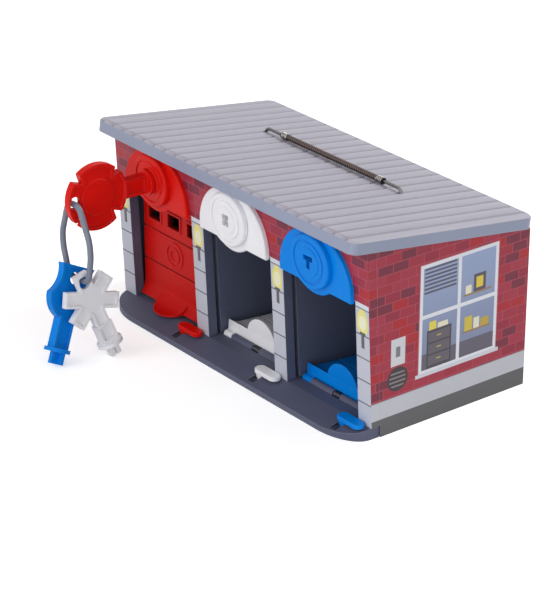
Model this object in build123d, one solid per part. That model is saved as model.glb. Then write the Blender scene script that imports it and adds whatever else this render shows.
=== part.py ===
"""Three-bay wooden toy garage with turning locks, drop-back doors and shaped keys.

Millimetres, +Z up, +X to the right as seen from the front, front towards -Y.
The pieces are drawn with y = 0 at the foot of the front wall, and every node is
moved so that the origin lies under the middle of the box.
"""
import os
from math import acos, asin, atan2, cos, degrees, hypot, radians, sin, tan

from build123d import *

os.makedirs("parts", exist_ok=True)

# Box
width = 300.0
depth = 145.0
board = 6.0
front_board = 8.0
floor_board = 3.0
lean_angle = 2.9
overrun = 1.0
contact_gap = 0.3
running_gap = 0.05

# Bays
pillar_width = 14.3
lintel_drop = 53.5
partition_board = 12.0
partition_gap = 4.2

# Roof
roof_front_height = 157.5
roof_drop = 23.5
roof_front_overhang = 21.5
roof_back_overhang = 2.0
roof_side_overhang = 2.5
roof_board = 9.5
roof_corner = 7.0
roof_edge = 1.2
rib_count = 22
rib_gap = 2.0
rib_height = 0.8
rib_angle = 40.0
rib_end_margin = 2.5
rib_side_margin = 8.5

# Ramp in front of the bays
ramp_length = 20.5
ramp_toe = 4.2
sill_height = 9.0
sill_back = 11.0
ramp_wall = 2.2
ramp_corner_length = 36.0
ramp_corner_depth = 20.0
ramp_side_gap = 1.0

# Doors
door_gap = 0.9
door_board = 4.5
door_face = 8.0
door_bottom = 11.4
door_head_gap = 2.0
door_rest_gap = 0.7
groove_shares = (0.327, 0.628)
window_row_share = 0.779
emblem_row_share = 0.477
groove_width = 1.6
groove_depth = 1.0
window_width = 15.0
window_height = 11.0
window_pitch = 25.0
window_rim = 1.6
rim_height = 0.8
emblem_radius = 11.0
emblem_ring = 2.2
lip_height = 6.0
lip_reach = 4.1
tongue_radius = 17.0
tongue_rise = 9.0
tongue_tip = 1.4
tongue_drop = 1.6
tongue_sag_share = 0.3
hinge_back = 14.5
hinge_height = 9.0
pin_radius = 1.5
pin_seat = 2.5
knuckle_radius = 3.0
knuckle_length = 9.0
knuckle_inset = 1.5
knuckle_rise = 3.8
hump_radius = 2.8
spring_length = 8.0
spring_wire = 0.9
spring_leg = 14.0

# Lock plates and locks
plate_board = 4.0
plate_inset = 1.0
plate_rise = 2.5
plate_lap = 2.0
plate_edge = 1.0
lobe_radius = 26.0
lock_drop = 35.2
dial_radius = 20.7
dial_board = 4.0
dial_edge = 1.0
dial_groove = 0.8
dial_step = 2.4
hub_radius = 10.8
hub_height = 0.6
barrel_radius = 8.0
barrel_hole_gap = 1.0
keyhole_stroke = 3.4
keyhole_reach = 4.8
serif_reach = 4.2
keyhole_depth = 12.0
keyhole_gap = 0.25
cam_radius = 10.0
cam_board = 1.5
cam_length = 16.0
cam_tip_radius = 4.0
screw_radius = 1.4
screw_head_radius = 2.8
screw_head = 1.2
screw_length = 4.0

# Release tabs
tab_overlap = 10.5
tab_length = 25.0
tab_width = 9.5
tab_height = 3.2
tab_edge = 0.6
tab_lead = 1.2
tab_travel = 7.0
stem_inset = 9.0
stem_width = 5.4
stem_length = 6.0
stem_neck = 2.4
groove_floor = 5.0
groove_board = 1.5
tab_foot_width = 8.0
tab_foot_height = 2.0

# Carrying handle
handle_back = 84.0
handle_span = 158.0
wire_radius = 1.2
wire_lift = 3.6
wire_bend = 4.0
handle_drop = 28.0
grip_length = 118.0
grip_radius = 2.1
grip_ring_radius = 2.5
grip_ring_length = 1.6
grip_ring_pitch = 3.0
grip_ring_count = 3
stop_radius = 3.4
stop_height = 2.0

# Keys and their ring
key_board = 6.0
key_rim = 2.2
key_recess = 1.2
badge_radius = 26.0
badge_notch_depth = 7.0
badge_notch_half = 4.0
badge_boss = 14.0
badge_hole = 20.3
badge_root = 2.0
star_radius = 22.5
star_arm = 12.0
star_hole = 15.2
star_root = 2.0
shield_width = 40.0
shield_height = 42.0
shield_hole = 11.6
shield_root = 8.0
shield_crown_share = 0.78
shield_waist_share = 0.68
shield_waist_place_share = 0.52
shield_belly_place_share = 0.1
shield_chin_share = 0.72
shank_width = 14.0
shank_board = 8.0
channel_depth = 2.0
badge_shank = 19.4
star_shank = 15.0
shield_shank = 29.0
collar_radius = 10.0
collar_length = 3.0
bit_length = 9.0
eye_radius = 4.7

# Ring and how the keys hang on it, with distances along the wire from the ring's foot
ring_wire = 2.3
wire_sides = 12
ring_width = 36.0
ring_height = 59.0
ring_top_half = 7.0
ring_foot_half = 13.0
ring_flank_shares = (0.44, 0.64)
ring_top_bend = 9.0
ring_flank_bend = 26.0
ring_foot_bend = 8.5
ring_angle = 4.0
white_along = 5.2
white_angle = 11.5
blue_along = 7.0
blue_angle = 12.0

# Values that follow from the sizes above
half_width = width / 2
bay_pitch = (width - pillar_width) / 3
bay_half = (bay_pitch - pillar_width) / 2
bays = {"red": -bay_pitch, "white": 0.0, "blue": bay_pitch}
inner_half = half_width - board
inner_back = depth - board
partition_x = bay_pitch / 2
lintel_height = roof_front_height - lintel_drop
lock_height = roof_front_height - lock_drop
door_top = lintel_height - door_head_gap
door_height = door_top - door_bottom
door_back = door_face + door_board
door_reach = hypot(hinge_back - door_back, door_top - hinge_height)
door_lead = atan2(hinge_back - door_back, door_top - hinge_height)
door_drop = hinge_height - floor_board - door_rest_gap
door_angle = degrees(door_lead + acos(-door_drop / door_reach))
tab_offset = bay_half + tab_overlap - tab_length / 2
stem_offset = bay_half - stem_inset
tab_middle = -tab_lead - tab_width / 2
roof_run = depth + roof_front_overhang + roof_back_overhang
roof_fall = atan2(roof_drop, roof_run)
roof_length = hypot(roof_run, roof_drop)
lean = Rot(lean_angle, 0, 0)
dial_back = -(plate_board + contact_gap)
dial_face = dial_back - dial_board
hub_face = dial_face - hub_height
barrel_end = front_board + contact_gap
cam_back = barrel_end + cam_board
partition_front = front_board + partition_gap
tall = 2 * roof_front_height


def block(x0, x1, y0, y1, z0, z1):
    """Box between two opposite corners."""
    middle = Pos((x0 + x1) / 2, (y0 + y1) / 2, (z0 + z1) / 2)
    return middle * Box(x1 - x0, y1 - y0, z1 - z0)


def rod_x(x0, x1, y, z, radius):
    """Round bar along X."""
    return Pos((x0 + x1) / 2, y, z) * Rot(0, 90, 0) * Cylinder(radius, x1 - x0)


def rod_y(x, z, y0, y1, radius):
    """Round bar along Y."""
    return Pos(x, (y0 + y1) / 2, z) * Rot(90, 0, 0) * Cylinder(radius, y1 - y0)


def profile_x(points, x0, x1):
    """Outline given as (y, z) points, extruded along X."""
    face = make_face(Polyline([(x0, y, z) for y, z in points], close=True))
    return extrude(face, amount=x1 - x0, dir=(1, 0, 0))


def face_xz(sketch, y0, y1):
    """Sketch drawn as (x, z), extruded along Y from y0 to y1."""
    plane = Plane(origin=(0, y1, 0), x_dir=(1, 0, 0), z_dir=(0, -1, 0))
    return extrude(plane * sketch, amount=y1 - y0)


def roof_place():
    """Frame on the roof's top, at the middle of its front edge, following the fall."""
    return Pos(0, -roof_front_overhang, roof_front_height) * Rot(-degrees(roof_fall), 0, 0)


def under_roof(solid, gap=0.0):
    """Keep what lies below the roof board."""
    slab = block(-width, width, -depth, 2 * depth, -roof_board - gap, tall)
    return solid - roof_place() * slab


def behind_front(solid, offset):
    """Keep what lies behind a plane parallel to the leaning front wall."""
    return solid - lean * block(-width, width, -depth, offset, -depth, tall)


def bay_windows():
    """The three bay openings and the lock holes, in the upright front frame."""
    cut = []
    for x in bays.values():
        cut.append(block(x - bay_half, x + bay_half, -overrun, front_board + overrun,
                         -overrun, lintel_height))
        hole = barrel_radius + barrel_hole_gap
        cut.append(rod_y(x, lock_height, -overrun, front_board + overrun, hole))
    return cut


def front_wall():
    """Leaning front board with three bay openings."""
    wall = block(-half_width, half_width, 0, front_board, sill_height, tall)
    for cut in bay_windows():
        wall -= cut
    standing = under_roof(lean * wall)
    return standing - block(-width, width, -depth, depth, -depth, sill_height)


def side_wall(side):
    """Side board, with its front edge against the leaning front board."""
    x0, x1 = sorted((side * inner_half, side * half_width))
    wall = block(x0, x1, -front_board, depth, 0, tall)
    seat = pin_hole(side * bay_pitch)
    return behind_front(under_roof(wall), front_board) - seat


def back_wall():
    """Back board between the side boards."""
    return under_roof(block(-inner_half, inner_half, inner_back, depth, 0, tall))


def pin_hole(x):
    """Holes that seat one door pin in the boards on both sides of its bay."""
    left, right = pin_span(x)
    return rod_x(left, right, hinge_back, hinge_height, pin_radius)


def pin_span(x):
    """Ends of the door pin of the bay at x."""
    reach = bay_pitch / 2 - partition_board / 2
    outer = inner_half - bay_pitch
    left = x - (outer if x < 0 else reach)
    right = x + (outer if x > 0 else reach)
    return left - pin_seat, right + pin_seat


def partition(side):
    """Inner board between two bays."""
    x = side * partition_x
    half = partition_board / 2
    wall = block(x - half, x + half, -front_board, inner_back, floor_board, tall)
    for bay in bays.values():
        wall -= pin_hole(bay)
    return behind_front(under_roof(wall), partition_front)


def floor_panel():
    """Floor board behind the ramp."""
    return block(-inner_half, inner_half, sill_back, inner_back, 0, floor_board)


def ramp_height(y):
    """Top of the ramp at a place in front of the wall."""
    return sill_height + y * (sill_height - ramp_toe) / ramp_length


def ramp_plan():
    """Outline of the ramp seen from above, with elliptical front corners."""
    half = half_width - ramp_side_gap
    straight = half - ramp_corner_length
    front = -ramp_length
    knee = front + ramp_corner_depth
    left = EllipticalCenterArc((-straight, knee), ramp_corner_length, ramp_corner_depth, 180)
    right = EllipticalCenterArc((straight, knee), ramp_corner_length, ramp_corner_depth, 270)
    step = behind_step()
    line = Line(left @ 1, right @ 0)
    rest = Polyline([right @ 1, (half, step), (inner_half, step), (inner_half, sill_back),
                     (-inner_half, sill_back), (-inner_half, step), (-half, step), left @ 0])
    return make_face(Curve() + [left, line, right, rest])


def behind_step():
    """Depth at which the ramp narrows to pass between the side boards."""
    return front_board - sill_height * tan(radians(lean_angle)) - contact_gap


def ramp():
    """Moulded ramp and sill, hollow underneath, with a slot for each tab."""
    outline = [(-ramp_length, 0), (-ramp_length, ramp_toe), (0, sill_height),
               (sill_back, sill_height), (sill_back, 0)]
    body = profile_x(outline, -half_width, half_width) & extrude(ramp_plan(), amount=sill_height)
    floor = -ramp_length + ramp_wall
    back = sill_back - ramp_wall
    hollow = [(floor, -overrun), (floor, ramp_toe - ramp_wall), (0, sill_height - ramp_wall),
              (back, sill_height - ramp_wall), (back, -overrun)]
    half_slot = tab_foot_width / 2 + contact_gap + ramp_wall
    start = -half_width + ramp_side_gap + ramp_corner_length
    for x in bays.values():
        body -= profile_x(hollow, start, x + stem_offset - half_slot)
        body -= tab_channel(x)
        start = x + stem_offset + half_slot
    for x in bays.values():
        body += hinge_hump(x)
        body -= pin_hole(x)
    return body


def hinge_hump(x):
    """Half-round rib behind the sill, round one door pin, open where the spring lies."""
    end = bay_half - door_gap - knuckle_inset - knuckle_length - contact_gap
    low = hinge_height - hump_radius
    hump = rod_x(x - end, x + end, hinge_back, hinge_height, hump_radius)
    hump += block(x - end, x + end, sill_back - overrun, hinge_back, low, hinge_height)
    coil = spring_length / 2 + contact_gap
    return hump - block(x - coil, x + coil, sill_back, hinge_back + hump_radius, low,
                        hinge_height + hump_radius)


def tab_channel(x):
    """Groove, stem slot and underside channel of one release tab."""
    x += stem_offset
    half = stem_width / 2 + contact_gap
    front = -(sill_height - groove_floor) * ramp_length / (sill_height - ramp_toe)
    stem_front = tab_middle - stem_length / 2
    stem_back = stem_front + stem_length + contact_gap
    top = block(x - half, x + half, front, stem_back, groove_floor, sill_height + overrun)
    neck = stem_neck / 2 + contact_gap
    slot = block(x - neck, x + neck, stem_front - tab_travel - contact_gap, stem_back,
                 -overrun, groove_floor + overrun)
    foot = tab_foot_width / 2 + contact_gap
    under = block(x - foot, x + foot, front, sill_back - ramp_wall, -overrun,
                  groove_floor - groove_board)
    return top + slot + under


def release_tab(x):
    """Sliding tab: rounded thumb piece, stem in the groove and retaining foot."""
    low = sill_height + contact_gap
    plan = SlotOverall(tab_length, tab_width)
    thumb = Pos(x + tab_offset, tab_middle, low) * extrude(plan, amount=tab_height)
    thumb = chamfer(thumb.edges().group_by(Axis.Z)[-1], tab_edge)
    x += stem_offset
    front = tab_middle - stem_length / 2
    back = tab_middle + stem_length / 2
    stem = block(x - stem_width / 2, x + stem_width / 2, front, back,
                 groove_floor + contact_gap, low + tab_height / 2)
    foot_top = groove_floor - groove_board - contact_gap
    neck = block(x - stem_neck / 2, x + stem_neck / 2, front, back,
                 foot_top - tab_foot_height, low)
    foot = block(x - tab_foot_width / 2, x + tab_foot_width / 2, front, back,
                 foot_top - tab_foot_height, foot_top)
    return thumb + stem + neck + foot


def door_profile(x0, x1):
    """Door board with the curved lip along its foot."""
    back = door_face + door_board
    lip = door_face - lip_reach
    curve_top = door_bottom + 2 * lip_height
    front = TangentArc((x0, door_face, curve_top), (x0, lip, door_bottom), tangent=(0, 0, -1))
    rest = Polyline([front @ 0, (x0, door_face, door_top), (x0, back, door_top),
                     (x0, back, door_bottom), front @ 1])
    return extrude(make_face(Curve() + [front, rest]), amount=x1 - x0, dir=(1, 0, 0))


def tongue(x):
    """Half-round tongue that curves down and forward from the foot of the door."""
    x0 = x - tongue_radius
    tip = door_face - tongue_radius
    low = door_bottom - tongue_drop
    high = low + tongue_tip
    top = door_bottom + tongue_rise
    sag = (tip + tongue_radius * tongue_sag_share * 2, high + tongue_rise * tongue_sag_share)
    curve = ThreePointArc((x0, door_face, top), (x0, *sag), (x0, tip, high))
    rest = Polyline([curve @ 1, (x0, tip, low), (x0, door_face - lip_reach, door_bottom),
                     (x0, door_face + groove_depth, door_bottom),
                     (x0, door_face + groove_depth, top), curve @ 0])
    solid = extrude(make_face(Curve() + [curve, rest]), amount=2 * tongue_radius, dir=(1, 0, 0))
    plan = Pos(x, door_face) * Circle(tongue_radius)
    return solid & extrude(plan, amount=door_top)


def door(x):
    """Door in its upright place: board, bands, windows, emblem, tongue and knuckles."""
    left = x - bay_half + door_gap
    right = x + bay_half - door_gap
    leaf = door_profile(left, right) + tongue(x)
    for share in groove_shares:
        z = door_bottom + share * door_height
        leaf -= block(left - overrun, right + overrun, door_face - overrun,
                      door_face + groove_depth, z - groove_width / 2, z + groove_width / 2)
    z = door_bottom + window_row_share * door_height
    for step in (-1, 0, 1):
        leaf += window_frame(x + step * window_pitch, z)
    for step in (-1, 0, 1):
        leaf -= window_hole(x + step * window_pitch, z)
    for ring in emblem(x, door_bottom + emblem_row_share * door_height):
        leaf += ring
    for side in (-1, 1):
        leaf += knuckle(x, side)
    bore = rod_x(left - overrun, right + overrun, hinge_back, hinge_height,
                 pin_radius + running_gap)
    return leaf - bore


def window_frame(x, z):
    """Raised rim of one door window."""
    w = window_width / 2 + window_rim
    h = window_height / 2 + window_rim
    return block(x - w, x + w, door_face - rim_height, door_face + rim_height, z - h, z + h)


def window_hole(x, z):
    """Through hole of one door window."""
    w = window_width / 2
    h = window_height / 2
    return block(x - w, x + w, 0, door_face + door_board + overrun, z - h, z + h)


def emblem(x, z):
    """Two plain raised rings in the middle band."""
    rings = []
    for radius in (emblem_radius, emblem_radius - 2 * emblem_ring):
        ring = rod_y(x, z, door_face - rim_height, door_face + rim_height, radius)
        ring -= rod_y(x, z, door_face - overrun, door_face + overrun, radius - emblem_ring)
        rings.append(ring)
    return rings


def knuckle(x, side):
    """Hinge knuckle at one end of the door's foot, with the web that carries it."""
    end = x + side * (bay_half - door_gap - knuckle_inset)
    x0, x1 = sorted((end, end - side * knuckle_length))
    inside = door_face + door_board / 2
    back = door_face + door_board
    edge = knuckle_radius * sin(radians(45))
    web = profile_x([(inside, door_bottom), (inside, door_bottom + knuckle_rise),
                     (back, door_bottom + knuckle_rise),
                     (hinge_back + edge, hinge_height + edge), (hinge_back, hinge_height),
                     (hinge_back - knuckle_radius * cos(radians(15)),
                      hinge_height + knuckle_radius * sin(radians(15)))], x0, x1)
    return rod_x(x0, x1, hinge_back, hinge_height, knuckle_radius) + web


def door_pin(x):
    """Steel pin of one door."""
    left, right = pin_span(x)
    return rod_x(left, right, hinge_back, hinge_height, pin_radius)


def door_spring(x):
    """Torsion spring round the pin, its coil shown closed, with its leg up the door's back."""
    inner = pin_radius + contact_gap
    outer = inner + spring_wire
    half = spring_length / 2
    coil = rod_x(x - half, x + half, hinge_back, hinge_height, outer)
    coil -= rod_x(x - half - overrun, x + half + overrun, hinge_back, hinge_height, inner)
    leg_y = door_face + door_board + spring_wire / 2
    leg_x = x + half - spring_wire / 2
    rise = spring_leg - inner
    leg = Pos(leg_x, leg_y, hinge_height + inner + rise / 2) * Cylinder(spring_wire / 2, rise)
    return coil + leg


def door_swing(x):
    """How far the door of each bay is turned back at rest."""
    turned = 0.0 if x < 0 else -door_angle
    axis_point = Pos(0, hinge_back, hinge_height)
    return axis_point * Rot(turned, 0, 0) * axis_point.inverse()


def lock_plate(x):
    """Half-round plate over one bay, with the lobe that carries the lock."""
    plate_radius = bay_half - plate_inset
    disc = Pos(x, lintel_height + plate_rise) * Circle(plate_radius)
    low = lintel_height - plate_lap - plate_radius
    disc -= Pos(x, low) * Rectangle(2 * (plate_radius + overrun), 2 * plate_radius)
    plate = bevelled(face_xz(disc, -plate_board, 0))
    plate += bevelled(rod_y(x, lock_height, -plate_board, 0, lobe_radius))
    plate -= rod_y(x, lock_height, -plate_board - overrun, overrun, barrel_radius + running_gap)
    return under_roof(lean * plate, contact_gap)


def bevelled(solid):
    """Solid with a bevel round its front face."""
    return chamfer(solid.faces().sort_by(Axis.Y)[0].edges(), plate_edge)


def bit_reach(colour):
    """Half the height of each key's bit."""
    return serif_reach if colour == "white" else keyhole_reach


def keyhole(colour, grow):
    """Outline of each lock's keyhole, the same for its key's bit."""
    stroke = keyhole_stroke + 2 * grow
    reach = bit_reach(colour) + grow
    edge = bit_reach(colour) - keyhole_stroke / 2
    bar = Rectangle(2 * reach, stroke)
    post = Rectangle(stroke, 2 * reach)
    if colour == "red":
        return bar + post
    if colour == "blue":
        return Pos(0, edge) * bar + post
    serif = Rectangle(stroke + keyhole_stroke, stroke)
    return Pos(0, edge) * serif + Pos(0, -edge) * serif + post


def key_seat(x):
    """Middle of the hub's face, where a key goes in."""
    return (lean * Pos(x, hub_face, lock_height)).position


def lock_dial(x, colour):
    """Turning lock: stepped dial, hub, barrel through the wall and shaped keyhole."""
    dial = rod_y(x, lock_height, dial_face, dial_back, dial_radius)
    dial = chamfer(dial.edges().sort_by(Axis.Y)[0], dial_edge)
    middle = (dial_radius + hub_radius) / 2
    step = rod_y(x, lock_height, dial_face - overrun, dial_face + dial_groove,
                 middle + dial_step / 2)
    step -= rod_y(x, lock_height, dial_face - 2 * overrun, dial_face + 2 * overrun,
                  middle - dial_step / 2)
    hub = rod_y(x, lock_height, hub_face, dial_back, hub_radius)
    barrel = rod_y(x, lock_height, dial_face, barrel_end, barrel_radius)
    solid = lean * (dial - step + hub + barrel - cam_bore(x, screw_radius))
    seat = key_seat(x)
    hole = face_xz(Pos(seat.X, seat.Z) * keyhole(colour, keyhole_gap),
                   seat.Y - 2 * overrun, seat.Y + keyhole_depth)
    return solid - hole


def cam_bore(x, radius):
    """Space of the screw that holds the cam."""
    return rod_y(x, lock_height, barrel_end - screw_length, cam_back + overrun, radius)


def lock_cam(x):
    """Cam on the inner end of the barrel, which keeps the lock in the wall."""
    plan = make_hull(cam_outline(x).edges())
    return lean * (face_xz(plan, barrel_end, cam_back) - cam_bore(x, screw_radius))


def cam_outline(x):
    """Two rounds whose hull is the cam's outline."""
    tip = cam_length - cam_tip_radius
    return Pos(x, lock_height) * Circle(cam_radius) + Pos(x, lock_height + tip) * Circle(cam_tip_radius)


def cam_screw(x):
    """Screw that holds the cam to the barrel."""
    shank = rod_y(x, lock_height, barrel_end - screw_length, cam_back, screw_radius)
    head = rod_y(x, lock_height, cam_back, cam_back + screw_head, screw_head_radius)
    return lean * (shank + head)


def roof():
    """Sloping roof board with flat-topped ribs from front to back."""
    across = width + 2 * roof_side_overhang
    plan = Pos(0, roof_length / 2) * RectangleRounded(across, roof_length, roof_corner)
    body = extrude(plan, amount=-roof_board)
    body = chamfer(body.edges().group_by(Axis.Z)[-1], roof_edge)
    span = across - 2 * rib_side_margin
    pitch = span / rib_count
    length = roof_length - 2 * rib_end_margin
    rib = extrude(Rectangle(pitch - rib_gap, length), amount=rib_height, taper=rib_angle)
    for index in range(rib_count):
        x = -span / 2 + (index + 1 / 2) * pitch
        body += Pos(x, roof_length / 2, 0) * rib
    body = roof_place() * body
    for side in (-1, 1):
        body -= handle_place() * leg_hole(side)
    return body


def handle_place():
    """Frame on the roof under the middle of the handle."""
    along = (handle_back + roof_front_overhang) / cos(roof_fall)
    return roof_place() * Pos(0, along, 0)


def leg_hole(side):
    """Hole through the roof for one leg of the handle's wire."""
    middle = Pos(side * handle_span / 2, 0, -roof_board / 2)
    return middle * Cylinder(wire_radius + running_gap, roof_board + 2 * overrun)


def handle_wire():
    """Steel wire bent down at both ends, lying on the roof when it is let go."""
    half = handle_span / 2
    low = -roof_board - handle_drop
    path = FilletPolyline([(-half, 0, low), (-half, 0, wire_lift), (half, 0, wire_lift),
                           (half, 0, low)], radius=wire_bend)
    section = Plane(origin=(-half, 0, low)) * RegularPolygon(wire_radius, wire_sides)
    return handle_place() * sweep(section, path=path)


def handle_grip():
    """Sleeve on the wire, with three rings at each end."""
    half = grip_length / 2
    grip = rod_x(-half, half, 0, wire_lift, grip_radius)
    for side in (-1, 1):
        for index in range(grip_ring_count):
            x = side * (half - grip_ring_length / 2 - index * grip_ring_pitch)
            reach = grip_ring_length / 2
            grip += rod_x(x - reach, x + reach, 0, wire_lift, grip_ring_radius)
    return handle_place() * (grip - rod_x(-half, half, 0, wire_lift, wire_radius))


def handle_stop(side):
    """Collar on the end of one leg, which stops it at the roof."""
    x = side * handle_span / 2
    z = -roof_board - handle_drop + stop_height / 2
    collar = Pos(x, 0, z) * Cylinder(stop_radius, stop_height)
    return handle_place() * (collar - Pos(x, 0, z) * Cylinder(wire_radius, stop_height))


def badge_head():
    """Round badge with four notches; the sketch's +X points along the shank."""
    head = Circle(badge_radius)
    brim = badge_radius + overrun
    notch = make_face(Polyline([(badge_radius - badge_notch_depth, 0), (brim, badge_notch_half),
                                (brim, -badge_notch_half)], close=True))
    for quarter in range(4):
        head -= Rot(0, 0, 45 + 90 * quarter) * notch
    return head


def star_head():
    """Six-armed star."""
    head = Sketch()
    for turn in range(3):
        head += Rot(0, 0, 60 * turn) * Rectangle(2 * star_radius, star_arm)
    return head


def shield_head():
    """Shield with a flat top and a pointed foot towards the shank."""
    half = shield_width / 2
    foot = shield_height / 2
    horn = half * shield_crown_share
    waist = (-foot * shield_waist_place_share, half * shield_waist_share)
    belly = (foot * shield_belly_place_share, half)
    chin = half * shield_chin_share
    sides = []
    for side in (-1, 1):
        sides.append(ThreePointArc((-foot, side * horn), (waist[0], side * waist[1]),
                                   (belly[0], side * belly[1])))
        sides.append(ThreePointArc((belly[0], side * belly[1]),
                                   (foot * shield_chin_share, side * chin), (foot, 0)))
    crown = Line((-foot, -horn), (-foot, horn))
    return make_face(Curve() + sides + crown)


class KeyShape:
    """Sizes of one key: outline, reach, eye, root in the head, shank and roll as it hangs."""

    def __init__(self, outline, reach, eye, root, shank, angle):
        self.outline = outline
        self.reach = reach
        self.eye = eye
        self.root = root
        self.shank = shank
        self.angle = angle

    def centre(self):
        """Distance from the collar's seat to the middle of the head."""
        return collar_length + self.shank - self.root + self.reach


key_shapes = {
    "red": KeyShape(badge_head, badge_radius, badge_hole, badge_root, badge_shank, 0.0),
    "white": KeyShape(star_head, star_radius, star_hole, star_root, star_shank, white_angle),
    "blue": KeyShape(shield_head, shield_height / 2, shield_hole, shield_root, shield_shank,
                     blue_angle),
}


def key(colour):
    """Key lying along Y with its head towards -Y and the collar's seat at y = 0."""
    shape = key_shapes[colour]
    centre = -shape.centre()
    outline = shape.outline()
    blank = slab_yz(outline, centre, key_board)
    shank_end = -collar_length - shape.shank
    half = shank_width / 2
    blank += block(-shank_board / 2, shank_board / 2, shank_end, -collar_length, -half, half)
    panel = offset(outline, -key_rim)
    if colour == "red":
        panel -= Circle(badge_boss)
    inside = half - key_rim
    for side in (-1, 1):
        blank -= Pos(side * key_board / 2, 0, 0) * slab_yz(panel, centre, 2 * key_recess)
        channel = block(-channel_depth, channel_depth, shank_end + key_rim,
                        -collar_length - key_rim, -inside, inside)
        blank -= Pos(side * shank_board / 2, 0, 0) * channel
    blank -= rod_x(-key_board, key_board, centre - shape.eye, 0, eye_radius)
    collar = rod_y(0, 0, -collar_length, 0, collar_radius)
    bit = face_xz(keyhole(colour, 0), -collar_length, bit_length)
    return blank + collar + bit


def slab_yz(sketch, y, thickness):
    """Sketch drawn as (y, z) about the place y, extruded to both sides of X = 0."""
    plane = Plane(origin=(-thickness / 2, y, 0), x_dir=(0, 1, 0), z_dir=(1, 0, 0))
    return extrude(plane * sketch, amount=thickness)


def red_key_place():
    """Frame of the red key's collar seat, level in its leaning lock."""
    seat = key_seat(bays["red"])
    tilt = collar_radius * sin(radians(lean_angle))
    return Pos(seat.X, seat.Y - contact_gap - tilt, seat.Z)


def eye_slack(turn, bend, board_there):
    """How far a bent wire lies from the middle of an eye that is turned against it."""
    half = board_there / 2
    steepest = turn + asin(half / bend)
    taken = ring_wire / cos(steepest) + half * tan(turn) + half * half / (2 * bend)
    return eye_radius - taken - contact_gap


def ring_place():
    """Frame of the ring, with the middle of its wire in the red key's eye as the origin."""
    shape = key_shapes["red"]
    drop = eye_slack(radians(ring_angle), ring_top_bend, key_board)
    eye = red_key_place() * Pos(0, -shape.centre() - shape.eye, -drop)
    return eye * Rot(0, -ring_angle, 0)


def ring_half():
    """Middle line of the ring's right half, from its top down to its foot."""
    half = ring_width / 2
    points = [(0, 0, 0), (ring_top_half, 0, 0)]
    for share in ring_flank_shares:
        points.append((half, 0, -share * ring_height))
    points += [(ring_foot_half, 0, -ring_height), (0, 0, -ring_height)]
    bends = [ring_top_bend, ring_flank_bend, ring_flank_bend, ring_foot_bend]
    return FilletPolyline(*points, radius=bends)


def key_ring():
    """Oval ring that hangs from the red key."""
    right = ring_half()
    left = mirror(right, about=Plane.YZ)
    path = Wire(right.edges() + left.edges())
    section = Plane(origin=path @ 0, z_dir=path % 0) * RegularPolygon(ring_wire, wire_sides)
    return ring_place() * sweep(section, path=path)


def hook_point(side, along):
    """Place on the ring's wire beside its foot, and the wire's direction there."""
    wire = ring_half()
    share = 1 - along / wire.length
    point = wire @ share
    run = wire % share
    place = ring_place() * Pos(side * point.X, 0, point.Z)
    turned = ring_place() * Pos(-side * run.X, 0, -run.Z)
    direction = turned.position - ring_place().position
    return place.position, direction * side


def key_tilt(colour, height):
    """Angle from upright at which a hanging key's tip just clears the ground."""
    shape = key_shapes[colour]
    roll = radians(shape.angle)
    length = shape.centre() + shape.eye + bit_length
    down = length * cos(roll) + sin(roll) * keyhole_stroke / 2
    reach = bit_reach(colour)
    return acos(min(1, (height - contact_gap) / hypot(down, reach))) + atan2(reach, down)


def hanging_key(colour, side, along, lean_side):
    """Key on the ring beside its foot, leaning forwards or back onto the ground."""
    shape = key_shapes[colour]
    point, run = hook_point(side, along)
    face = Vector(1, 0, 0).rotate(Axis.Y, -shape.angle)
    web = key_board - 2 * key_recess
    height = point.Z - eye_slack(radians(face.get_angle(run)), ring_foot_bend, web)
    tilt = lean_side * degrees(key_tilt(colour, height))
    hang = Rot(tilt, 0, 0) * Rot(0, -shape.angle, 0) * Rot(-90, 0, 0)
    return Pos(point.X, point.Y, height) * hang * Pos(0, shape.centre() + shape.eye, 0) * key(colour)


def save(name, shape):
    """Write one node, with the origin under the middle of the box."""
    export_step(Pos(0, -depth / 2, 0) * shape, f"parts/{name}.step")


def main():
    """Write every node."""
    save("floor_board", floor_panel())
    save("ramp", ramp())
    save("front_wall", front_wall())
    save("left_wall", side_wall(-1))
    save("right_wall", side_wall(1))
    save("back_wall", back_wall())
    save("partition_left", partition(-1))
    save("partition_right", partition(1))
    save("roof", roof())
    save("handle_wire", handle_wire())
    save("handle_grip", handle_grip())
    save("handle_stop_left", handle_stop(-1))
    save("handle_stop_right", handle_stop(1))
    for colour, x in bays.items():
        save(f"door_{colour}", door_swing(x) * door(x))
        save(f"door_pin_{colour}", door_pin(x))
        save(f"door_spring_{colour}", door_swing(x) * door_spring(x))
        save(f"lock_plate_{colour}", lock_plate(x))
        save(f"lock_dial_{colour}", lock_dial(x, colour))
        save(f"lock_cam_{colour}", lock_cam(x))
        save(f"cam_screw_{colour}", cam_screw(x))
        save(f"release_tab_{colour}", release_tab(x))
    save("key_red", red_key_place() * key("red"))
    save("key_white", hanging_key("white", 1, white_along, 1))
    save("key_blue", hanging_key("blue", -1, blue_along, -1))
    save("key_ring", key_ring())


main()
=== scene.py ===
import math

import bpy
from mathutils import Matrix, Vector


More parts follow.
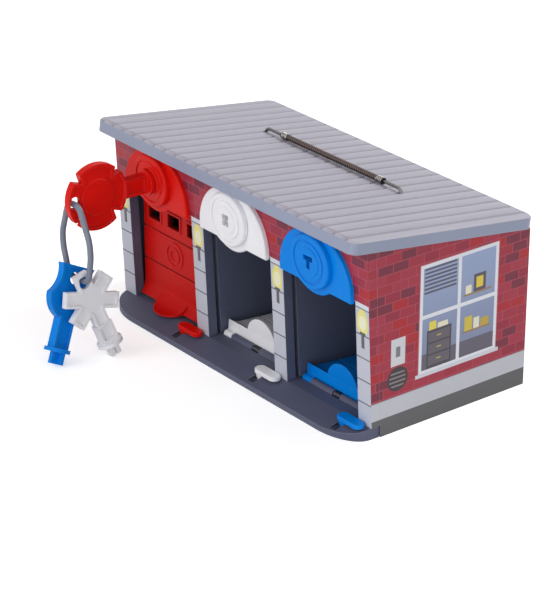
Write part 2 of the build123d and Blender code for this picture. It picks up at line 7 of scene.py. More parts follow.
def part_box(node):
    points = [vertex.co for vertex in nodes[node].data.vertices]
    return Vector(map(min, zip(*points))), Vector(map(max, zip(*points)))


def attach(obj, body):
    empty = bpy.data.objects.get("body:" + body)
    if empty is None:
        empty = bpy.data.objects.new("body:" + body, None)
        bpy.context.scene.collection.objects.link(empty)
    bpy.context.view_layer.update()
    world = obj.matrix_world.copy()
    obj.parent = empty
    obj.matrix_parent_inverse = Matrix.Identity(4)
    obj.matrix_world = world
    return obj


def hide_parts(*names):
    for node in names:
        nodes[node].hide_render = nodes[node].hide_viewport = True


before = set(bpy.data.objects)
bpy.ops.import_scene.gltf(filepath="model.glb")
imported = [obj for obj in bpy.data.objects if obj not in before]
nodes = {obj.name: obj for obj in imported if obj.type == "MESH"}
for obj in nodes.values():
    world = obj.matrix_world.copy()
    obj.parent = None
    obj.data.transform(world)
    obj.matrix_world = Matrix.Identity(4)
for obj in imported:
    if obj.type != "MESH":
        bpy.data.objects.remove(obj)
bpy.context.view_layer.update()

# All sizes are in metres, in the frame of the CAD model. The middle of the door pins is
# the same for each door in y and z.
HALF_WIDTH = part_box("right_wall")[1].x
HALF_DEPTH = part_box("back_wall")[1].y
pin_low, pin_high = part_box("door_pin_white")
PIN = (pin_low + pin_high) / 2

# Middle of each bay in x, and its door's turn about the pin at rest, in degrees
BAY_PITCH = 0.2857 / 3
LAID_BACK = -94.498
BAYS = {"red": (-BAY_PITCH, 0.0), "white": (0.0, LAID_BACK), "blue": (BAY_PITCH, LAID_BACK)}

# Doors as if upright, for the painted shade in their holes and grooves: shares are of the
# height, and depths are behind the face
DOOR_FACE = 0.008 - HALF_DEPTH
DOOR_FOOT = 0.0114
DOOR_HEIGHT = 0.0906
GROOVE_SHARES = (0.327, 0.628)
GROOVE_HALF_WIDTH = 0.00085
GROOVE_MIDDLE_DEPTH = 0.00065
GROOVE_HALF_DEPTH = 0.0004
HOLE_SHARE = 0.779
HOLE_PITCH = 0.025
HOLE_HALF_WIDTH = 0.00755
HOLE_HALF_HEIGHT = 0.00555
HOLE_SHADE_PER_METRE = 380.0
HOLE_SHADE_START = 0.2

# Channels in the ramp that the tabs run in, painted with shade inside
SILL_HEIGHT = 0.009
RAMP_SLOPE = 0.0048 / 0.0205
CHANNEL_OFFSET = 0.0314667
CHANNEL_HALF_WIDTH = 0.0031
CHANNEL_FLOOR = 0.0049
CHANNEL_MARGIN = 0.0001

# Print of the boards, with heights above the ground
BRICK_LENGTH = 0.0140
BRICK_COURSE = 0.0073
BRICK_MORTAR = 0.0004
STRIP_TOP = 0.014
BAND_TOP = 0.028
BAND_LINE = 0.0006
LEDGE_LOW = 0.1006
LEDGE_TOP = 0.1045
BLOCK_FOOT = 0.0268
BLOCK_HEIGHT = 0.0178
BLOCK_COUNT = 4
BLOCK_JOINT_HALF = 0.00045
LEDGE_SHADOW_HALF = 0.0004
LEDGE_SHADOW = 0.0006
SIDE_MARGIN = 0.0001
PILLARS = (-0.1427, -0.0476, 0.0476, 0.1427)

# Ribs of the roof, with the painted light and painted shade at their two edges
RIB_PITCH = 0.288 / 22
RIB_GAP_HALF = 0.0010
RIB_FLANK = 0.0007
RIB_LIT_EDGE = 1.09
RIB_SHADED_EDGE = 0.82

# Window, wall plate and vent on the right board: distance behind the front, and height
WINDOW_CORNER = (0.041, 0.037)
WINDOW_SIZE = (0.075, 0.086)
FRAME_WIDTH = 0.0035
FRAME_LINE_WIDTH = 0.0008
BAR_HALF = 0.0015
CROSS_BAR_UP = 0.045
PLATE_CORNER = (0.016, 0.052)
PLATE_SIZE = (0.013, 0.021)
VENT_MIDDLE = (0.0225, 0.0415)
VENT_RADIUS = 0.0095
VENT_RIM = 0.0017

# Heights of the lamps printed on the pillars
BRACKET_FOOT = 0.0700
BRACKET_TOP = 0.0806
COLLAR_TOP = 0.0824
GLASS_FOOT = 0.0822
GLASS_MIDDLE = 0.0892
GLOW_MIDDLE = 0.0895

# Windings of the handle; wire sizes are radii
WRAP_INSET = 0.0006
WRAP_LENGTH = 0.0068
WRAP_TURNS = 4
WRAP_RADIUS = 0.00235
WRAP_WIRE = 0.0004
WINDING_PITCH = 0.0021
WINDING_RADIUS = 0.00178
WINDING_WIRE = 0.00055

# Springs of the doors; the wire's size is a radius
SPRING_LENGTH = 0.008
SPRING_WIRE = 0.00045
SPRING_RADIUS = 0.00225
SPRING_LEG = 0.0138
SPRING_LEG_OFFSET = 0.00155

# Studio: each lamp's place, size and power in watts
LAMPS = {"key": ((-0.5, -2.0, 1.3), 1.6, 17), "fill": ((1.9, -0.6, 1.0), 1.4, 7),
         "front": ((1.1, -1.9, 0.55), 1.2, 12), "top": ((0.3, 1.55, 1.5), 0.3, 24)}
LAMP_AIM = Vector((0, 0, 0.07))
AMBIENT = 0.34
FLOOR_REACH = 6.0
FLOOR_GLOW_NEAR = 0.5
FLOOR_GLOW_START = 0.5

# Camera fitted to the photograph, in degrees, metres and pixels
IMAGE_SIZE = (560, 610)
IMAGE_MIDDLE = (264.96, 305.67)
FOCAL_LENGTH = 2522.65
SENSOR = 36
CAMERA_AZIMUTH = 52.10
CAMERA_ELEVATION = 24.83
CAMERA_PLACE = (1.3425, -1.0236 - HALF_DEPTH, 0.8307)


def linear(r, g, b):
    """Linear colour of an 8-bit sRGB one."""
    out = []
    for v in (r, g, b):
        v /= 255
        out.append(v / 12.92 if v <= 0.04045 else ((v + 0.055) / 1.055) ** 2.4)
    return (*out, 1.0)


RED = linear(214, 18, 10)
# Red of the doors: the same red plastic darkened with painted shade, as if shaded in the bay
SHADED_DOOR_RED = linear(196, 14, 8)
WHITE = linear(234, 234, 238)
BLUE = linear(0, 128, 222)
SLATE = linear(86, 89, 111)
RING_GREY = linear(116, 122, 138)
SCUFFED = linear(235, 235, 238)
# Paler edges: rubbed wear with a painted highlight
RUBBED_AND_HIGHLIT_PLASTIC = linear(238, 238, 240)
RUBBED_AND_HIGHLIT_WOOD = linear(214, 206, 204)
INSIDE = linear(88, 94, 116)
# Painted shade deep in the doors' window holes
HOLE_SHADE = linear(30, 14, 14)
# Painted shade inside the ramp's channels
CHANNEL_SHADE = linear(22, 22, 28)

BRICK = linear(154, 40, 60)
MORTAR = linear(174, 84, 100)
BRICK_STOPS = ((0.0, BRICK), (0.34, linear(142, 36, 58)), (0.50, linear(112, 36, 56)),
               (0.64, linear(158, 46, 66)), (0.84, linear(166, 32, 42)), (0.92, BRICK))
FOOT_BAND = linear(190, 192, 200)
FOOT_LINE = linear(150, 146, 156)
FOOT_STRIP = linear(92, 92, 94)
BLOCK_PAINT = linear(186, 189, 201)
BLOCK_JOINT = linear(70, 72, 84)
# Painted shadow under the pillars' ledge
LEDGE_SHADOW_PAINT = linear(92, 95, 108)
LEDGE_PAINT = linear(206, 209, 219)
RIB_PAINT = linear(177, 174, 187)
# Painted shade in the gaps between the roof's ribs
RIB_GAP_SHADE = linear(136, 133, 148)
ROOF_EDGE = linear(142, 149, 171)

FRAME_PAINT = linear(222, 224, 232)
FRAME_LINE = linear(172, 90, 104)
SKY_LOW = linear(122, 130, 158)
SKY_HIGH = linear(150, 166, 200)
LOW_WALL = linear(96, 92, 106)
SILL_PAINT = linear(204, 206, 216)
CABINET = linear(74, 68, 78)
DRAWER = linear(98, 92, 102)
DRAWER_PULL = linear(196, 178, 84)
SHELF = linear(150, 122, 92)
CREAM = linear(228, 222, 196)
SLAT = linear(88, 84, 98)
PLATE = linear(206, 208, 214)
SWITCH = linear(120, 120, 128)
VENT = linear(58, 50, 54)
VENT_SLAT = linear(132, 124, 128)

LAMP_GLASS = linear(222, 214, 128)
LAMP_GLOW = linear(226, 226, 196)
BRACKET = linear(112, 112, 114)
BRACKET_DARK = linear(84, 84, 88)


class Nodes:
    """A node tree, built from short calls."""

    def __init__(self, tree):
        self.tree = tree

    def node(self, kind):
        return self.tree.nodes.new(kind)

    def put(self, value, socket):
        if isinstance(value, bpy.types.NodeSocket):
            self.tree.links.new(value, socket)
        else:
            socket.default_value = value

    def split(self, vector):
        node = self.node("ShaderNodeSeparateXYZ")
        self.put(vector, node.inputs[0])
        return node.outputs[0], node.outputs[1], node.outputs[2]

    def join(self, x, y, z):
        node = self.node("ShaderNodeCombineXYZ")
        for value, socket in zip((x, y, z), node.inputs):
            self.put(value, socket)
        return node.outputs[0]

    def math(self, operation, *values, clamp=False):
        node = self.node("ShaderNodeMath")
        node.operation = operation
        node.use_clamp = clamp
        for value, socket in zip(values, node.inputs):
            self.put(value, socket)
        return node.outputs[0]

    def add(self, a, b):
        return self.math("ADD", a, b)

    def minus(self, a, b):
        return self.math("SUBTRACT", a, b)

    def times(self, a, b):
        return self.math("MULTIPLY", a, b)

    def either(self, a, b):
        return self.math("MAXIMUM", a, b)

    def absolute(self, a):
        return self.math("ABSOLUTE", a)

    def mix(self, factor, a, b):
        node = self.node("ShaderNodeMix")
        node.data_type = "RGBA"
        self.put(factor, node.inputs["Factor"])
        self.put(a, node.inputs[6])
        self.put(b, node.inputs[7])
        return node.outputs[2]

    def above(self, value, limit):
        return self.math("GREATER_THAN", value, limit)

    def below(self, value, limit):
        return self.math("LESS_THAN", value, limit)

    def within(self, value, middle, half):
        return self.below(self.absolute(self.minus(value, middle)), half)

    def between(self, value, low, high):
        return self.within(value, (low + high) / 2, (high - low) / 2)

    def rect(self, u, v, u0, u1, v0, v1):
        return self.times(self.between(u, u0, u1), self.between(v, v0, v1))

    def ellipse(self, u, v, middle_u, middle_v, radius_u, radius_v):
        a = self.math("POWER", self.math("DIVIDE", self.minus(u, middle_u), radius_u), 2)
        b = self.math("POWER", self.math("DIVIDE", self.minus(v, middle_v), radius_v), 2)
        return self.below(self.add(a, b), 1)

    def span(self, value, low, high):
        """Carry 0..1 to low..high."""
        return self.math("MULTIPLY_ADD", value, high - low, low)

    def shade(self, colour, value):
        """Colour with its brightness scaled."""
        node = self.node("ShaderNodeHueSaturation")
        self.put(value, node.inputs["Value"])
        self.put(colour, node.inputs["Color"])
        return node.outputs[0]

    def seen(self):
        """1 for what the camera, metal and glass see, 0 for what lights the object."""
        path = self.node("ShaderNodeLightPath")
        shown = self.either(path.outputs["Is Glossy Ray"], path.outputs["Is Transmission Ray"])
        return self.either(path.outputs["Is Camera Ray"], shown)


class Material(Nodes):
    """A material with one principled shader."""

    def __init__(self, name):
        self.mat = bpy.data.materials.new(name)
        self.mat.use_nodes = True
        super().__init__(self.mat.node_tree)
        self.tree.nodes.clear()
        self.bsdf = self.node("ShaderNodeBsdfPrincipled")
        self.out = self.node("ShaderNodeOutputMaterial")
        self.tree.links.new(self.bsdf.outputs[0], self.out.inputs[0])
        coord = self.node("ShaderNodeTexCoord")
        self.place = coord.outputs["Object"]
        self.x, self.y, self.z = self.split(self.place)
        self.nx, self.ny, self.nz = self.split(coord.outputs["Normal"])

    def noise(self, scale, detail, rough=0.5, vector=None):
        node = self.node("ShaderNodeTexNoise")
        self.put(self.place if vector is None else vector, node.inputs["Vector"])
        node.inputs["Scale"].default_value = scale
        node.inputs["Detail"].default_value = detail
        node.inputs["Roughness"].default_value = rough
        return node.outputs["Fac"]

    def rounded(self, radius):
        """Normal that runs smoothly over the edges."""
        node = self.node("ShaderNodeBevel")
        node.samples = 6
        node.inputs["Radius"].default_value = radius
        return node.outputs[0]

    def worn_and_highlit(self, colour, radius, pale, most):
        """Colour paler along the edges, from rubbed wear and a painted highlight."""
        steepness = 4.0
        plain = self.node("ShaderNodeNewGeometry").outputs["Normal"]
        dot = self.node("ShaderNodeVectorMath")
        dot.operation = "DOT_PRODUCT"
        self.put(self.rounded(radius), dot.inputs[0])
        self.put(plain, dot.inputs[1])
        bend = self.minus(1.0, dot.outputs["Value"])
        edge = self.math("MULTIPLY", bend, steepness, clamp=True)
        patchy = self.span(self.noise(scale=150, detail=4), 0.2, 1.0)
        return self.mix(self.times(self.times(edge, patchy), most), colour, pale)

    def bump(self, height, distance, edge):
        node = self.node("ShaderNodeBump")
        node.inputs["Distance"].default_value = distance
        self.put(height, node.inputs["Height"])
        self.put(self.rounded(edge), node.inputs["Normal"])
        self.tree.links.new(node.outputs[0], self.bsdf.inputs["Normal"])

    def shine(self, level):
        self.bsdf.inputs["Specular IOR Level"].default_value = level

    def finish(self, colour, roughness):
        self.put(colour, self.bsdf.inputs["Base Color"])
        self.put(roughness, self.bsdf.inputs["Roughness"])
        return self.mat


class Print:
    """Shapes printed over each other on a board, placed from a corner."""

    def __init__(self, g, u, v, colour, corner):
        self.g, self.u, self.v, self.colour = g, u, v, colour
        self.corner = corner

    def lay(self, mask, tone):
        self.colour = self.g.mix(mask, self.colour, tone)

    def rect_mask(self, u0, u1, v0, v1):
        left, low = self.corner
        return self.g.rect(self.u, self.v, left + u0, left + u1, low + v0, low + v1)

    def ellipse_mask(self, u, v, radius_u, radius_v):
        left, low = self.corner
        return self.g.ellipse(self.u, self.v, left + u, low + v, radius_u, radius_v)

    def rect(self, u0, u1, v0, v1, tone):
        self.lay(self.rect_mask(u0, u1, v0, v1), tone)

    def ellipse(self, u, v, radius_u, radius_v, tone):
        self.lay(self.ellipse_mask(u, v, radius_u, radius_v), tone)


def moulded(name, colour, rough=0.36, shine=0.10, grain=0.00003, edge=0.0004,
            rub_and_highlight_radius=0.0004, rub_and_highlight=0.16, painted_shade=None):
    """Moulded plastic: faint flow marks, soft scuffs, edges paled by wear and a painted
    highlight, painted shade where asked, and a fine skin.
    """
    g = Material(name)
    flow = g.noise(scale=35, detail=4)
    scuff = g.noise(scale=260, detail=5, rough=0.7)
    skin = g.noise(scale=2600, detail=2)
    tone = g.shade(colour, g.span(flow, 0.94, 1.05))
    tone = g.mix(g.times(g.above(scuff, 0.66), 0.03), tone, SCUFFED)
    # Edges paler, from rubbed wear and a painted highlight
    tone = g.worn_and_highlit(tone, rub_and_highlight_radius, RUBBED_AND_HIGHLIT_PLASTIC, rub_and_highlight)
    # Painted shade in recesses, where a function for it is given
    if painted_shade is not None:
        tone = painted_shade(g, tone)
    g.bump(g.add(g.times(skin, 0.4), flow), grain, edge)
    g.shine(shine)
    roughness = g.add(g.span(scuff, rough - 0.05, rough + 0.09), g.span(flow, -0.02, 0.03))
    return g.finish(tone, roughness)


def door_recess_shade(g, tone, key):
    """Paint shade inside the holes and grooves of a door."""
    middle, laid_back = BAYS[key]
    turn = math.radians(laid_back)
    cos, sin = math.cos(turn), math.sin(turn)

    # Depth behind the face and height, turned with the door about its pin
    y = g.minus(g.y, PIN.y)
    z = g.minus(g.z, PIN.z)
    depth = g.add(g.math("MULTIPLY_ADD", y, cos, PIN.y - DOOR_FACE), g.times(z, sin))
    up = g.add(g.math("MULTIPLY_ADD", y, -sin, PIN.z), g.times(z, cos))

    across = 0.0
    for step in (-1, 0, 1):
        hole = g.within(g.x, middle + step * HOLE_PITCH, HOLE_HALF_WIDTH)
        across = g.either(across, hole)
    holes = g.times(across, g.within(up, DOOR_FOOT + HOLE_SHARE * DOOR_HEIGHT, HOLE_HALF_HEIGHT))
    sunk = g.math("MULTIPLY_ADD", depth, HOLE_SHADE_PER_METRE, HOLE_SHADE_START, clamp=True)
    # Painted shade in the window holes, darker further in
    tone = g.mix(g.times(g.times(holes, sunk), 0.9), tone, HOLE_SHADE)

    rows = 0.0
    for share in GROOVE_SHARES:
        rows = g.either(rows, g.within(up, DOOR_FOOT + share * DOOR_HEIGHT, GROOVE_HALF_WIDTH))
    floor = g.times(rows, g.within(depth, GROOVE_MIDDLE_DEPTH, GROOVE_HALF_DEPTH))
    # Painted shade on the floors of the grooves
    return g.mix(g.times(floor, 0.5), tone, g.shade(tone, 0.3))


def tab_channel_shade(g, tone):
    """Paint shade inside the ramp's channels."""
    surface = g.math("MULTIPLY_ADD", g.add(g.y, HALF_DEPTH), RAMP_SLOPE, SILL_HEIGHT)
    sunk = g.times(g.above(g.minus(surface, g.z), CHANNEL_MARGIN), g.above(g.z, CHANNEL_FLOOR))
    across = 0.0
    for middle, _ in BAYS.values():
        across = g.either(across, g.within(g.x, middle + CHANNEL_OFFSET, CHANNEL_HALF_WIDTH))
    inside = g.times(g.times(sunk, across), g.below(g.y, -HALF_DEPTH))
    return g.mix(g.times(inside, 0.8), tone, CHANNEL_SHADE)


def metal(name, colour, rough):
    """Drawn wire: fine lines and slight tarnish."""
    g = Material(name)
    lines = g.noise(scale=900, detail=3, vector=g.join(g.x, g.times(g.y, 0.1), g.z))
    dull = g.noise(scale=120, detail=4)
    tone = g.mix(g.span(dull, 0, 0.5), colour, g.shade(colour, 0.6))
    g.bsdf.inputs["Metallic"].default_value = 1.0
    g.bump(lines, distance=0.00002, edge=0.0006)
    return g.finish(tone, g.span(dull, rough - 0.06, rough + 0.12))


def board(g, colour, rough=0.42):
    """Lacquered board: fibre texture under a satin print."""
    stretched = g.join(g.times(g.x, 0.35), g.times(g.y, 0.35), g.z)
    fibre = g.noise(scale=420, detail=4, vector=stretched)
    cloud = g.noise(scale=18, detail=3)
    colour = g.shade(colour, g.span(cloud, 0.95, 1.05))
    # Edges paler, from rubbed wear and a painted highlight
    colour = g.worn_and_highlit(colour, radius=0.0007, pale=RUBBED_AND_HIGHLIT_WOOD, most=0.3)
    g.bump(g.add(g.times(fibre, 0.5), cloud), distance=0.00006, edge=0.0007)
    g.shine(0.3)
    return g.finish(colour, g.span(fibre, rough - 0.06, rough + 0.10))


def brick_colour(g, u):
    """Printed brickwork on a board, with a random tone for each brick."""
    unit = 0.5 / BRICK_LENGTH
    brick = g.node("ShaderNodeTexBrick")
    brick.offset = 0.5
    brick.squash = 1.0
    g.put(g.join(u, g.z, 0.0), brick.inputs["Vector"])
    brick.inputs["Scale"].default_value = unit
    # Each brick's grey picks its tone from the ramp below
    brick.inputs["Color1"].default_value = (0, 0, 0, 1)
    brick.inputs["Color2"].default_value = (1, 1, 1, 1)
    brick.inputs["Mortar"].default_value = (0, 0, 0, 1)
    brick.inputs["Mortar Size"].default_value = BRICK_MORTAR * unit
    brick.inputs["Mortar Smooth"].default_value = 0.2
    brick.inputs["Brick Width"].default_value = BRICK_LENGTH * unit
    brick.inputs["Row Height"].default_value = BRICK_COURSE * unit
    ramp = g.node("ShaderNodeValToRGB")
    ramp.color_ramp.interpolation = "CONSTANT"
    elements = ramp.color_ramp.elements
    for index, (at, colour) in enumerate(BRICK_STOPS):
        stop = elements[index] if index < len(elements) else elements.new(at)
        stop.position = at
        stop.color = colour
    g.put(brick.outputs["Color"], ramp.inputs[0])
    return g.mix(g.times(brick.outputs["Fac"], 0.5), ramp.outputs[0], MORTAR)


def banded(g, colour):
    """White band and dark strip along the foot of a side."""
    colour = g.mix(g.below(g.z, BAND_TOP), colour, FOOT_BAND)
    colour = g.mix(g.between(g.z, BAND_TOP - BAND_LINE, BAND_TOP), colour, FOOT_LINE)
    return g.mix(g.below(g.z, STRIP_TOP), colour, FOOT_STRIP)


def inside_colour(g):
    """Dark painted inside of the bays."""
    return g.shade(INSIDE, g.span(g.noise(scale=240, detail=4), 0.9, 1.1))


def inner_paint():
    """Dark paint of the floor and partitions."""
    g = Material("inner_paint")
    return board(g, inside_colour(g), rough=0.55)


def side_board(name, side, window):
    """Side board: print outside and on its rear end, dark paint inside."""
    g = Material(name)
    colour = banded(g, brick_colour(g, g.y))
    if window:
        colour = wall_fittings(g, window_print(g, colour))
    outside = g.either(g.above(g.times(g.nx, side), 0.5), g.above(g.ny, 0.5))
    return board(g, g.mix(outside, inside_colour(g), colour))


def back_board():
    """Back board: print outside, dark paint inside."""
    g = Material("back_print")
    colour = banded(g, brick_colour(g, g.x))
    return board(g, g.mix(g.above(g.ny, 0.5), inside_colour(g), colour))


def window_print(g, colour):
    """Plain four-pane window with a blind, a cabinet and shelves behind it."""
    front, foot = WINDOW_CORNER
    width, height = WINDOW_SIZE
    sheet = Print(g, g.y, g.z, colour, (front - HALF_DEPTH, foot))
    line = FRAME_LINE_WIDTH
    sheet.rect(0, width, 0, height, FRAME_LINE)
    sheet.rect(line, width - line, line, height - line, FRAME_PAINT)
    rise = g.math("DIVIDE", g.minus(g.z, foot), height)
    sky = g.mix(rise, SKY_LOW, SKY_HIGH)
    sheet.rect(FRAME_WIDTH, width - FRAME_WIDTH, FRAME_WIDTH, height - FRAME_WIDTH, sky)
    sheet.rect(FRAME_WIDTH, width - FRAME_WIDTH, FRAME_WIDTH, 0.016, LOW_WALL)

    cabinet_top = 0.0335
    sheet.rect(0.008, 0.031, FRAME_WIDTH, cabinet_top, CABINET)
    for drawer in range(3):
        low = 0.006 + 0.009 * drawer
        sheet.rect(0.0095, 0.0295, low, low + 0.0075, DRAWER)
        sheet.rect(0.0175, 0.0215, low + 0.0035, low + 0.0043, DRAWER_PULL)
    sheet.rect(0.010, 0.0165, cabinet_top, cabinet_top + 0.0065, linear(226, 206, 84))
    sheet.rect(0.018, 0.0275, cabinet_top, cabinet_top + 0.0040, CREAM)

    lower_shelf, upper_shelf = 0.023, 0.052
    for top in (lower_shelf, upper_shelf):
        sheet.rect(0.0415, 0.068, top - 0.0015, top, SHELF)
    sheet.rect(0.0435, 0.0505, lower_shelf, lower_shelf + 0.0110, linear(206, 184, 66))
    sheet.rect(0.052, 0.0575, lower_shelf, lower_shelf + 0.0085, CREAM)
    sheet.rect(0.059, 0.0665, lower_shelf, lower_shelf + 0.0065, linear(186, 160, 60))
    sheet.rect(0.0435, 0.049, upper_shelf, upper_shelf + 0.0065, CREAM)
    sheet.rect(0.051, 0.0625, upper_shelf, upper_shelf + 0.0135, linear(84, 78, 92))
    sheet.rect(0.0535, 0.0600, upper_shelf + 0.0025, upper_shelf + 0.0110, linear(218, 196, 74))

    for slat in range(7):
        low = 0.0625 + 0.003 * slat
        sheet.rect(0.0045, 0.0345, low, low + 0.0015, SLAT)
    bar = BAR_HALF
    sheet.rect(width / 2 - bar, width / 2 + bar, 0.002, height - 0.002, FRAME_PAINT)
    sheet.rect(0.002, width - 0.002, CROSS_BAR_UP - bar, CROSS_BAR_UP + bar, FRAME_PAINT)
    sheet.rect(-0.002, width + 0.002, -bar, bar, SILL_PAINT)
    return sheet.colour


def wall_fittings(g, colour):
    """Plain plate with a switch, and a round vent below it."""
    sheet = Print(g, g.y, g.z, colour, (-HALF_DEPTH, 0.0))
    left, low = PLATE_CORNER
    width, height = PLATE_SIZE
    sheet.rect(left, left + width, low, low + height, PLATE)
    sheet.rect(left + 0.0045, left + 0.0085, low + 0.0065, low + 0.0145, SWITCH)
    across, up = VENT_MIDDLE
    sheet.ellipse(across, up, VENT_RADIUS, VENT_RADIUS, VENT)
    opening = VENT_RADIUS - VENT_RIM
    for slat in range(4):
        low = up - 0.006 + 0.0033 * slat
        band = sheet.rect_mask(across - 0.0075, across + 0.0075, low, low + 0.0013)
        disc = sheet.ellipse_mask(across, up, opening, opening)
        sheet.lay(g.times(band, disc), VENT_SLAT)
    return sheet.colour


def lamp_print(g, colour, x):
    """Plain glowing wall lamp on a bracket, printed on one pillar."""
    sheet = Print(g, g.x, g.z, colour, (x, 0.0))
    glass = sheet.ellipse_mask(0.0, GLASS_MIDDLE, 0.0056, 0.0110)
    sheet.lay(g.times(glass, g.above(g.z, GLASS_FOOT)), LAMP_GLASS)
    sheet.ellipse(0.0, GLOW_MIDDLE, 0.0038, 0.0056, LAMP_GLOW)
    sheet.rect(-0.0030, 0.0030, BRACKET_TOP, COLLAR_TOP, BRACKET_DARK)
    sheet.rect(-0.0017, 0.0017, BRACKET_FOOT, BRACKET_TOP, BRACKET)
    sheet.rect(-0.0006, 0.0017, BRACKET_FOOT, BRACKET_TOP, BRACKET_DARK)
    return sheet.colour


def front_board():
    """Front board: pillars of pale blocks with lamps, a painted shadow line under the ledge,
    brick above, dark inner edges.
    """
    g = Material("front_print")
    colour = brick_colour(g, g.x)
    colour = g.mix(g.below(g.z, LEDGE_TOP), colour, BLOCK_PAINT)
    for course in range(BLOCK_COUNT):
        joint = g.within(g.z, BLOCK_FOOT + course * BLOCK_HEIGHT, BLOCK_JOINT_HALF)
        colour = g.mix(joint, colour, BLOCK_JOINT)
    # Painted shadow line along the foot of the ledge
    colour = g.mix(g.within(g.z, LEDGE_LOW, LEDGE_SHADOW_HALF), colour, LEDGE_SHADOW_PAINT)
    ledge = g.between(g.z, LEDGE_LOW + LEDGE_SHADOW, LEDGE_TOP)
    colour = g.mix(ledge, colour, LEDGE_PAINT)
    for x in PILLARS:
        colour = lamp_print(g, colour, x)
    at_side = g.above(g.absolute(g.x), HALF_WIDTH - SIDE_MARGIN)
    ends = g.times(at_side, g.above(g.absolute(g.nx), 0.5))
    edges = g.mix(ends, inside_colour(g), banded(g, brick_colour(g, g.y)))
    return board(g, g.mix(g.above(g.times(g.ny, -1), 0.5), edges, colour))


def roof_paint():
    """Roof: pale ribs with painted light fading to painted shade towards the next one, painted
    shade in the gaps, cooler edges.
    """
    g = Material("roof_paint")
    share = g.math("FRACT", g.math("DIVIDE", g.x, RIB_PITCH))
    off_gap = g.minus(0.5, g.absolute(g.minus(share, 0.5)))
    # 1 in the gap between two ribs, where shade is painted, falling to 0 over the rib's flank
    gap_shade = g.math("MULTIPLY_ADD", off_gap, -RIB_PITCH / RIB_FLANK,
                 (RIB_GAP_HALF + RIB_FLANK) / RIB_FLANK, clamp=True)
    top = g.mix(g.times(gap_shade, 0.6), RIB_PAINT, RIB_GAP_SHADE)
    # Painted light by one edge of each rib, fading to painted shade by the other
    top = g.shade(top, g.span(share, RIB_LIT_EDGE, RIB_SHADED_EDGE))
    return board(g, g.mix(g.above(g.nz, 0.6), ROOF_EDGE, top), rough=0.40)


def dress(names, material):
    """Give CAD nodes a material."""
    for name in names:
        mesh = nodes[name].data
        mesh.materials.clear()
        mesh.materials.append(material)


def helix(centre, radius, start, turns, x0, x1, steps=20):
    """Points of a coil about a line along X, from the angle start in degrees."""
    points = []
    count = int(abs(turns) * steps)
    for index in range(count + 1):
        share = index / count
        angle = math.radians(start + 360 * turns * share)
        points.append(Vector((x0 + (x1 - x0) * share, centre.y + radius * math.cos(angle),
                              centre.z + radius * math.sin(angle))))
    return points


def wire_piece(name, points, radius, material, body):
    """Round wire along points, riding on a body."""
    curve = bpy.data.curves.new(name, "CURVE")
    curve.dimensions = "3D"
    curve.bevel_depth = radius
    curve.bevel_resolution = 3
    curve.use_fill_caps = True
    line = curve.splines.new("POLY")
    line.points.add(len(points) - 1)
    for point, place in zip(line.points, points):
        point.co = (*place, 1.0)
    curve.materials.append(material)
    piece = bpy.data.objects.new(name, curve)
    bpy.context.scene.collection.objects.link(piece)
    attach(piece, body)
    return piece


def handle_windings():
    """Fine dark winding along the handle's sleeve and bright wire round both its ends."""
    bright = metal("wrap_steel", linear(186, 184, 180), 0.28)
    dark = metal("winding_steel", linear(124, 108, 104), 0.38)
    low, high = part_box("handle_grip")
    middle = (low + high) / 2
    for side, label in ((-1, "left"), (1, "right")):
        end = side * (high.x - WRAP_INSET)
        points = helix(middle, WRAP_RADIUS, 0, WRAP_TURNS, end, end - side * WRAP_LENGTH)
        wire_piece(f"handle_wrap_{label}", points, WRAP_WIRE, bright, "handle")
    reach = high.x - WRAP_LENGTH - WRAP_INSET - WRAP_WIRE
    points = helix(middle, WINDING_RADIUS, 0, 2 * reach / WINDING_PITCH, -reach, reach, steps=12)
    wire_piece("handle_winding", points, WINDING_WIRE, dark, "handle")


def door_spring(key, material):
    """Torsion spring on one door's pin, with its leg up the back of the door."""
    x, laid_back = BAYS[key]
    pin = Vector((x, PIN.y, PIN.z))
    half = SPRING_LENGTH / 2 - SPRING_WIRE
    turns = half / SPRING_WIRE
    stop = math.degrees(math.acos(-SPRING_LEG_OFFSET / SPRING_RADIUS))
    points = helix(pin, SPRING_RADIUS, stop + 360 * turns, -turns, x - half, x + half)
    points.append(pin + Vector((half, -SPRING_LEG_OFFSET, SPRING_LEG)))
    lean = Matrix.Rotation(math.radians(laid_back), 4, "X")
    turn = Matrix.Translation(pin) @ lean @ Matrix.Translation(-pin)
    piece = wire_piece(f"spring_coil_{key}", [turn @ p for p in points], SPRING_WIRE, material,
                       f"door_{key}")
    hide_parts(f"door_spring_{key}")


def dress_plastics():
    """Colour the moulded pieces, and the steel ones between them."""
    steel = metal("steel", linear(170, 172, 178), 0.32)
    for key, colour in (("red", RED), ("white", WHITE), ("blue", BLUE)):
        dress([n for n in nodes if n.endswith("_" + key)], moulded(f"{key}_plastic", colour))
        dress([f"door_pin_{key}", f"cam_screw_{key}", f"lock_cam_{key}"], steel)
    # Ramp: painted shade in its channels, and edges paled by wear and a painted highlight
    dress(["ramp"], moulded("ramp_plastic", SLATE, rough=0.46, shine=0.25, grain=0.00006,
                            edge=0.0008, rub_and_highlight_radius=0.0009, rub_and_highlight=0.3, painted_shade=tab_channel_shade))
    dress(["key_ring"], moulded("ring_plastic", RING_GREY, shine=0.4, edge=0.0012))


def dress_boards():
    """Print and paint the wooden boards."""
    dress(["right_wall"], side_board("right_print", 1, window=True))
    dress(["left_wall"], side_board("left_print", -1, window=False))
    dress(["back_wall"], back_board())
    dress(["front_wall"], front_board())
    dress(["roof"], roof_paint())
    dress(["floor_board", "partition_left", "partition_right"], inner_paint())


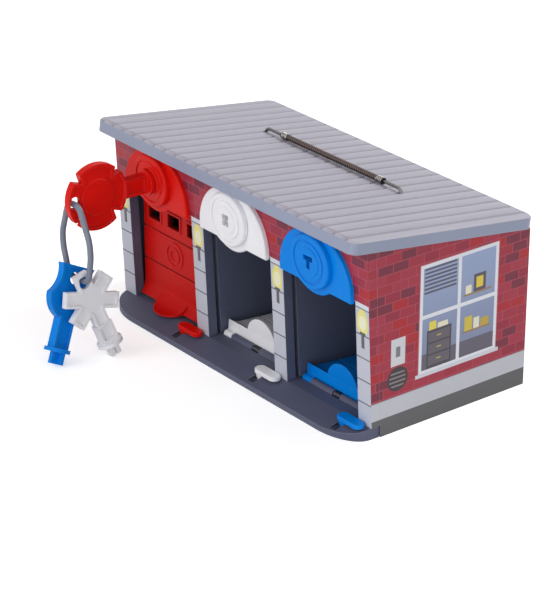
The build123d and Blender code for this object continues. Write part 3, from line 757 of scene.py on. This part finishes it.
def dress_handle():
    """Dark steel handle with its windings."""
    dress(["handle_wire"], metal("handle_steel", linear(120, 118, 118), 0.3))
    dress(["handle_grip", "handle_stop_left", "handle_stop_right"],
          metal("grip_steel", linear(62, 54, 52), 0.42))
    handle_windings()


def dress_doors():
    """Colour the doors, with painted shade in their recesses, and wind their springs."""
    spring_steel = metal("spring_steel", linear(74, 74, 80), 0.42)
    for key, colour in (("red", SHADED_DOOR_RED), ("white", WHITE), ("blue", BLUE)):
        dress([f"door_{key}"], moulded(f"{key}_door", colour,
                                       painted_shade=lambda g, tone: door_recess_shade(g, tone, key)))
        door_spring(key, spring_steel)


def floor_material():
    """White studio floor that keeps the shadow and glows to full white far away."""
    g = Material("studio_floor")
    g.bsdf.inputs["Base Color"].default_value = (0.9, 0.9, 0.9, 1)
    g.bsdf.inputs["Roughness"].default_value = 0.9
    g.shine(0.0)
    away = g.math("SQRT", g.add(g.math("POWER", g.x, 2), g.math("POWER", g.y, 2)))
    far = g.math("SUBTRACT", away, FLOOR_GLOW_START, clamp=True)
    glow = g.node("ShaderNodeEmission")
    g.put(g.times(g.seen(), g.span(far, FLOOR_GLOW_NEAR, 1.0)), glow.inputs["Strength"])
    both = g.node("ShaderNodeAddShader")
    g.tree.links.new(g.bsdf.outputs[0], both.inputs[0])
    g.tree.links.new(glow.outputs[0], both.inputs[1])
    g.tree.links.new(both.outputs[0], g.out.inputs[0])
    return g.mat


def studio_floor():
    """Wide flat floor under the garage."""
    reach = FLOOR_REACH
    mesh = bpy.data.meshes.new("floor")
    mesh.from_pydata([(-reach, -reach, 0), (reach, -reach, 0), (reach, reach, 0),
                      (-reach, reach, 0)], [], [(0, 1, 2, 3)])
    mesh.materials.append(floor_material())
    floor = bpy.data.objects.new("floor", mesh)
    bpy.context.scene.collection.objects.link(floor)


def studio_light():
    """White world, dim except where it is seen, and soft area lamps."""
    world = bpy.data.worlds.new("studio")
    bpy.context.scene.world = world
    world.use_nodes = True
    sky = Nodes(world.node_tree)
    back = sky.tree.nodes["Background"]
    back.inputs["Color"].default_value = (1, 1, 1, 1)
    sky.put(sky.span(sky.seen(), AMBIENT, 1.0), back.inputs["Strength"])

    for name, (place, size, power) in LAMPS.items():
        light = bpy.data.lights.new(name, "AREA")
        light.size = size
        light.energy = power
        lamp = bpy.data.objects.new(name, light)
        bpy.context.scene.collection.objects.link(lamp)
        lamp.location = place
        lamp.rotation_euler = (LAMP_AIM - Vector(place)).to_track_quat("-Z", "Y").to_euler()


def camera():
    """Camera at the photograph's view."""
    turn = math.radians(CAMERA_AZIMUTH)
    rise = math.radians(CAMERA_ELEVATION)
    back = Vector((math.sin(turn) * math.cos(rise), -math.cos(turn) * math.cos(rise),
                   math.sin(rise)))
    width, height = IMAGE_SIZE
    middle_x, middle_y = IMAGE_MIDDLE
    data = bpy.data.cameras.new("camera")
    data.sensor_width = SENSOR
    data.lens = FOCAL_LENGTH * SENSOR / height
    data.shift_x = (width / 2 - middle_x) / height
    data.shift_y = (middle_y - height / 2) / height
    data.clip_end = 50
    cam = bpy.data.objects.new("camera", data)
    bpy.context.scene.collection.objects.link(cam)
    cam.location = CAMERA_PLACE
    cam.rotation_euler = (-back).to_track_quat("-Z", "Y").to_euler()
    bpy.context.scene.camera = cam


dress_plastics()
dress_boards()
dress_handle()
dress_doors()
studio_floor()
studio_light()
camera()
bpy.context.scene.view_settings.view_transform = "Standard"
